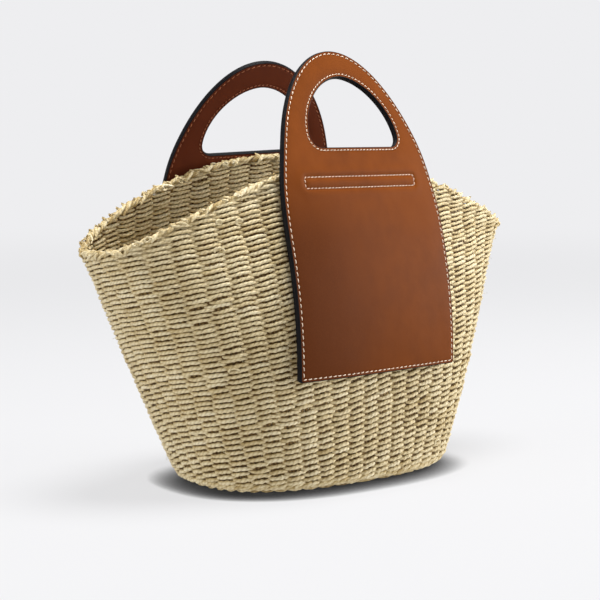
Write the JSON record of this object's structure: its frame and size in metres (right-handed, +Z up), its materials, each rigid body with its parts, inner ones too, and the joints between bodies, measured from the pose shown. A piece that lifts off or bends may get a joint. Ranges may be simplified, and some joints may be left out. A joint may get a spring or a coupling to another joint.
{
  "type": "beach bag",
  "caption": "Open woven-straw beach bag with a saddle-shaped mouth and stiff leather panels outside that rise into hand-hole handles and flex at the rim.",
  "frame": {"origin": "on the base's resting face, midway between the two ends of the rim and on the mouth's middle plane", "axes": "+X along the mouth towards its narrower end, -Y out of the front panel, +Z up"},
  "size_m": [0.4225, 0.2149, 0.3604],
  "materials": {
    "straw": "twisted paper straw, matt, twined",
    "tan_leather": "smooth, low sheen",
    "inner_leather": "smooth, darker, low sheen",
    "black_edge": "edge paint, satin",
    "thread": "waxed thread"
  },
  "bodies": {
    "root": {"base_weave": "straw", "wall_weave": "straw", "rim_border": "straw", "front_panel_board": "black_edge", "front_panel_leather": "tan_leather", "front_panel_lining": "inner_leather", "front_panel_stitching": "thread", "front_fixing_stitching": "thread", "back_panel_board": "black_edge", "back_panel_leather": "tan_leather", "back_panel_lining": "inner_leather", "back_panel_stitching": "thread", "back_fixing_stitching": "thread"},
    "front_handle": {"front_handle_board": "black_edge", "front_handle_leather": "tan_leather", "front_handle_lining": "inner_leather", "front_handle_stitching": "thread", "front_hole_stitching": "thread"},
    "back_handle": {"back_handle_board": "black_edge", "back_handle_leather": "tan_leather", "back_handle_lining": "inner_leather", "back_handle_stitching": "thread", "back_hole_stitching": "thread"}
  },
  "joints": [
    {"name": "front_handle_flex", "type": "hinge", "parent": "root", "child": "front_handle", "pos_m": [0, -0.06154, 0.27392], "axis": [0.9956, 0.0941, 0], "range_deg": [-20, 45], "stiffness_Nm_per_rad": 0.6},
    {"name": "back_handle_flex", "type": "hinge", "parent": "root", "child": "back_handle", "pos_m": [-0.018, 0.06543, 0.26956], "axis": [-0.99, 0.1339, -0.0436], "range_deg": [-20, 45], "stiffness_Nm_per_rad": 0.6}
  ]
}
